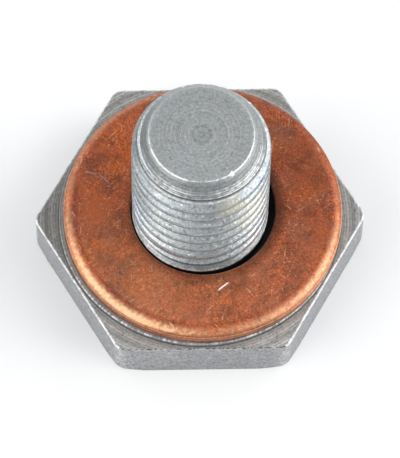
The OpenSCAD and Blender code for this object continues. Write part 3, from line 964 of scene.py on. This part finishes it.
class DRAINPLUG_OT_make_plug(Operator):
    """Build the turned plug with its thread"""

    bl_idname = "drainplug.make_plug"
    bl_label = "Make Plug"

    def execute(self, context):
        size, thread = context.scene.drainplug_plug, context.scene.drainplug_thread
        finish = context.scene.drainplug_finish
        piece = lathe("drain_plug_body", plug_rows(size), plug_angles())
        # A nick in the nose's edge: a real dent, with a painted highlight on it
        nick = math.radians(-56)
        way = Vector((math.cos(nick), math.sin(nick), 0.0))
        burr_at(piece.data, way * size.nose_radius + Vector((0.0, 0.0, PLUG_HIGH[2])), 0.24 * MM, way * 0.08 * MM)
        skins = (
            zinc_material("turned_zinc", finish, Skin(
                finish.zinc_dull, shade=1.35, metallic=0.75, rough=0.45, tint=0.15, patch=330.0, feed=0.24 * MM,
                faint_from=1.0, contrast=0.55, lines=0.6, depth=0.14, grain=1.2, grit=0.3, pits=0.3, glints=0.2,
            )),
            flats_material("drawn_zinc", finish),
            # Painted shade: a darker, less metallic copy of the zinc for the upright crests, the relief and the plain
            # shank
            zinc_material("crest_zinc", finish, Skin(
                finish.zinc, shade=0.85, metallic=0.4, rough=0.55, tint=0.3, patch=150.0, feed=0.1 * MM,
                faint_from=1.0, contrast=0.1, lines=0.1, depth=0.03, grain=1.8, grit=0.8, pits=0.4, glints=0.4,
            )),
            zinc_material("thread_zinc", finish, Skin(
                Vector(finish.zinc).lerp(Vector(finish.zinc_cool), 0.15), shade=1.36, metallic=0.92, rough=0.36, tint=0.75, patch=150.0, feed=0.1 * MM,
                faint_from=1.0, contrast=0.12, lines=0.1, depth=0.03, grain=1.5, grit=0.7, pits=0.35, glints=0.9,
            )),
            zinc_material("chamfer_zinc", finish, Skin(
                finish.zinc, shade=0.95, metallic=0.75, rough=0.42, tint=0.2, patch=330.0, feed=0.16 * MM,
                faint_from=1.0, contrast=0.5, lines=0.45, depth=0.1, grain=1.3, grit=0.35, pits=0.2, glints=0.4,
            )),
            zinc_material("nose_zinc", finish, Skin(
                finish.zinc, shade=1.07, metallic=0.75, rough=0.45, tint=0.25, patch=330.0, feed=0.17 * MM,
                faint_from=4.0 * MM, contrast=0.35, lines=0.4, depth=0.05, grain=1.2, grit=0.35, pits=0.2, glints=0.2,
            )),
        )
        for skin in skins:
            piece.data.materials.append(skin)
        start_height = thread.front_height + thread.pitch * (thread.start - FRONT) / math.tau
        run_nodes(piece, thread_tree("Thread groove"), {
            "Crest radius": size.crest_radius, "Pitch": thread.pitch, "Groove width": thread.groove_width,
            "Groove depth": thread.groove_depth, "Root width": thread.root_width, "Root round": thread.root_round,
            "Edge break": thread.edge_break, "Start height": start_height, "Start turn": thread.start,
            "Turns": (PLUG_HIGH[2] - 0.2 * MM - start_height) / thread.pitch, "Run out": thread.run_out,
            "Skin": skins[THREAD],
        })
        piece.data.set_sharp_from_angle(angle=math.radians(48))
        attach(piece, "root")
        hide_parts("drain_plug")
        return {"FINISHED"}


def washer_rows(size):
    """Rows of the washer's closed section, from the bore's lower edge outwards, up the rim and back over the top."""
    low, high = WASHER_LOW[2], WASHER_HIGH[2]
    small, edge, slope = size.small_round, size.edge_round, size.edge_slope
    crease_top = high - edge * (1 - math.cos(slope))
    crease_low = crease_top - size.crease_width
    outer = size.radius - size.crease_depth / 2 - edge * math.sin(slope)
    inner = size.bore + small

    face_shade = around(*FACE_SHADE)

    def shadow(level):
        """Painted shade next to the bore, most on the right, where the gap is widest, over the face's painted shade."""
        return lambda a: face_shade(a) + level * (0.4 + 0.6 * max(0.0, math.cos(a + math.radians(10))))

    # Painted shade in the bore's lower edge, under the rim and in the crease, and painted highlights on the lips
    # between them
    section = [(r, z, 0.0, 1.0) for r, z in arc(inner, low + small, small, 180, 270, 4)]
    section += [(r, z, 0.0, 0.3) for r, z in arc(size.radius - small, low + small, small, 270, 360, 4)]
    section += [
        (size.radius, crease_low - 0.4 * MM, 0.3, 0.0),
        (size.radius, crease_low - 0.3 * MM, 0.0, 0.6),
        (size.radius, crease_low - 0.2 * MM, 0.4, 0.0),
        (size.radius, crease_low - 0.08 * MM, 0.0, 0.3),
        (size.radius, crease_low, 0.6, 0.0),
        (size.radius - size.crease_depth, (crease_low + crease_top) / 2, 0.0, 0.6),
    ]
    # Painted highlight on the rim's rounding, partly rubbed copper, with painted shade on its right and back
    rim = arc(outer, high - edge, edge, 90 - math.degrees(slope), 90, 8)
    rim_wear_and_highlight = (0.2, 0.55, 0.85, 0.85, 0.65, 0.4, 0.18, 0.06, 0.0)
    section += [(r, z, around(*RIM_GLEAM, factor=wear), around(*RIM_SHADE)) for (r, z), wear in zip(rim, rim_wear_and_highlight)]
    # The upper face: painted highlight towards the front, painted shade on the right and back and in the rings next to
    # the bore
    for k in range(1, 14):
        r = outer + (inner - outer) * k / 14
        section.append((r, high, around(*FACE_GLEAM), shadow(max(0.0, (k - 11) / 2) * 0.5)))
    # The bore's upper edge: painted highlight on its rounding and painted shade next to the gap
    bore = arc(inner, high - small, small, 90, 180, 4)
    bore_look = ((0.3, 0.55), (1.0, 0.5), (1.0, 0.5), (0.3, 0.65), (0.0, 0.9))
    section += [
        (r, z, around(*BORE_GLEAM, factor=wear), shadow(dark)) for (r, z), (wear, dark) in zip(bore, bore_look)
    ]

    def ripple(z, r):
        if z < crease_low:
            return z
        return lambda a: z - size.wave * (1.0 + uneven(a, 400.0 * r, 3.0, 7.0)) / 2

    return [Row(r, ripple(z, r), 0, wear, dark) for r, z, wear, dark in section]


class DRAINPLUG_OT_make_washer(Operator):
    """Build the copper washer that lies on the collar"""

    bl_idname = "drainplug.make_washer"
    bl_label = "Make Washer"

    def execute(self, context):
        size = context.scene.drainplug_washer
        columns = [math.tau * i / 288 for i in range(288)]
        shift = (WASHER_LOW[0] + WASHER_HIGH[0]) / 2
        piece = lathe("copper_washer", washer_rows(size), columns, centre=shift, ring=True)
        piece.data.materials.append(copper_material("stained_copper", context.scene.drainplug_finish))
        piece.data.set_sharp_from_angle(angle=math.radians(40))
        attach(piece, "root")
        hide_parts("sealing_washer")
        return {"FINISHED"}


def away(target, azimuth, elevation, distance):
    """Point seen from the target in one direction."""
    level = math.cos(elevation)
    way = Vector((level * math.cos(azimuth), level * math.sin(azimuth), math.sin(elevation)))
    return Vector(target) + distance * way


def aim(thing, target, roll=0.0):
    """Turns a lamp or camera so that it looks at a point."""
    look = (Vector(target) - thing.location).to_track_quat("-Z", "Y")
    thing.rotation_euler = (look @ Quaternion((0.0, 0.0, 1.0), roll)).to_euler()


def softbox(name, azimuth, elevation, distance, width, height, brightness, target):
    """Rectangular lamp seen from the object in one direction, with its brightness as a surface."""
    data = bpy.data.lights.new(name, "AREA")
    data.shape = "RECTANGLE"
    data.size, data.size_y = width, height
    data.energy = brightness * math.pi * width * height
    lamp = bpy.data.objects.new(name, data)
    lamp.location = away(target, math.radians(azimuth), math.radians(elevation), distance)
    aim(lamp, target)
    bpy.context.scene.collection.objects.link(lamp)


def floor_material(settings):
    """Pale floor that is white to the camera and still takes the object's shadow, except in front of the object, where
    more plain white is painted light that lifts the shadow.
    """
    made = bpy.data.materials.new("pale_floor")
    made.use_nodes = True
    tree = made.node_tree
    tree.nodes.clear()
    lit = node(tree, "ShaderNodeBsdfDiffuse", {"Color": (*settings.floor, 1.0)})
    white = node(tree, "ShaderNodeEmission", {"Color": (1.0, 1.0, 1.0, 1.0), "Strength": 1.0})
    rays = node(tree, "ShaderNodeLightPath").outputs
    mirrored = calc(tree, "MAXIMUM", rays["Is Glossy Ray"], rays["Is Transmission Ray"])
    seen = calc(tree, "MAXIMUM", rays["Is Camera Ray"], mirrored)
    place = node(tree, "ShaderNodeTexCoord").outputs["Object"]
    across = node(tree, "ShaderNodeSeparateXYZ", {0: place}).outputs[1]
    # Painted light: the floor turns whiter to the camera in front of the object
    glow = ramp(tree, across, -15.0 * MM, -8.0 * MM, settings.front_glow, settings.floor_glow)
    blend = node(tree, "ShaderNodeMixShader", {
        0: calc(tree, "MULTIPLY", seen, glow), 1: lit.outputs[0], 2: white.outputs[0],
    })
    node(tree, "ShaderNodeOutputMaterial", {"Surface": blend.outputs[0]})
    return made


def studio_world(settings):
    """Plain grey surroundings, lighter overhead than at eye level and darker behind the camera."""
    world = bpy.data.worlds.new("studio")
    world.use_nodes = True
    tree = world.node_tree
    tree.nodes.clear()
    way = node(tree, "ShaderNodeTexCoord").outputs["Generated"]
    split = node(tree, "ShaderNodeSeparateXYZ", {0: way}).outputs
    level = ramp(tree, split[2], 0.0, 0.9, settings.horizon, settings.sky)
    level = calc(tree, "MULTIPLY", level, ramp(tree, split[1], -0.7, -0.15, settings.front, 1.0))
    back = node(tree, "ShaderNodeBackground", {"Color": (1.0, 1.0, 1.0, 1.0), "Strength": level})
    node(tree, "ShaderNodeOutputWorld", {"Surface": back.outputs[0]})
    bpy.context.scene.world = world


class DRAINPLUG_OT_make_stage(Operator):
    """Build the floor, the lamps and the camera"""

    bl_idname = "drainplug.make_stage"
    bl_label = "Make Stage"

    def execute(self, context):
        settings = context.scene.drainplug_stage
        mesh = bpy.data.meshes.new("floor")
        half = 1.5
        mesh.from_pydata([(-half, -half, 0), (half, -half, 0), (half, half, 0), (-half, half, 0)], [], [(0, 1, 2, 3)])
        mesh.materials.append(floor_material(settings))
        floor = bpy.data.objects.new("floor", mesh)
        context.scene.collection.objects.link(floor)
        middle = (0.0, 0.0, PLUG_HIGH[2] / 2)
        softbox("left_lamp", 206, 30, 0.6, 0.56, 0.42, settings.left_lamp, middle)
        softbox("right_lamp", -14, 30, 0.6, 0.46, 0.42, settings.right_lamp, middle)
        softbox("back_left_lamp", 150, 28, 0.6, 0.3, 0.3, settings.back_left_lamp, middle)
        softbox("back_right_lamp", 28, 28, 0.6, 0.3, 0.3, settings.back_right_lamp, middle)
        studio_world(settings)
        data = bpy.data.cameras.new("camera")
        data.sensor_width = 36.0
        data.lens = settings.lens
        camera = bpy.data.objects.new("camera", data)
        camera.location = away(settings.aim, FRONT + settings.swing, settings.elevation, settings.distance)
        aim(camera, settings.aim, settings.roll)
        context.scene.collection.objects.link(camera)
        context.scene.camera = camera
        context.scene.view_settings.view_transform = "Standard"
        return {"FINISHED"}


SETTINGS = (
    ("drainplug_plug", DRAINPLUG_PG_plug, "Plug"),
    ("drainplug_thread", DRAINPLUG_PG_thread, "Thread"),
    ("drainplug_washer", DRAINPLUG_PG_washer, "Washer"),
    ("drainplug_finish", DRAINPLUG_PG_finish, "Finishes"),
    ("drainplug_stage", DRAINPLUG_PG_stage, "Stage"),
)
OPERATORS = (DRAINPLUG_OT_make_plug, DRAINPLUG_OT_make_washer, DRAINPLUG_OT_make_stage)


class DRAINPLUG_PT_sidebar(Panel):
    """Sizes, colours and buttons of the drain plug"""

    bl_idname = "DRAINPLUG_PT_sidebar"
    bl_label = "Oil Drain Plug"
    bl_space_type = "VIEW_3D"
    bl_region_type = "UI"
    bl_category = "Drain Plug"

    def draw(self, context):
        for attribute, group, label in SETTINGS:
            box = self.layout.box()
            box.label(text=label)
            for name in group.__annotations__:
                box.prop(getattr(context.scene, attribute), name)
        for operator in OPERATORS:
            self.layout.operator(operator.bl_idname)


def register():
    """Registers the settings, the operators and the panel."""
    for attribute, group, _ in SETTINGS:
        bpy.utils.register_class(group)
        setattr(bpy.types.Scene, attribute, PointerProperty(type=group))
    for kind in (*OPERATORS, DRAINPLUG_PT_sidebar):
        bpy.utils.register_class(kind)


def unregister():
    """Takes back what register added."""
    for kind in (DRAINPLUG_PT_sidebar, *reversed(OPERATORS)):
        bpy.utils.unregister_class(kind)
    for attribute, group, _ in reversed(SETTINGS):
        delattr(bpy.types.Scene, attribute)
        bpy.utils.unregister_class(group)


def main():
    """Builds the whole scene."""
    register()
    bpy.ops.drainplug.make_plug()
    bpy.ops.drainplug.make_washer()
    bpy.ops.drainplug.make_stage()


if __name__ == "__main__":
    main()
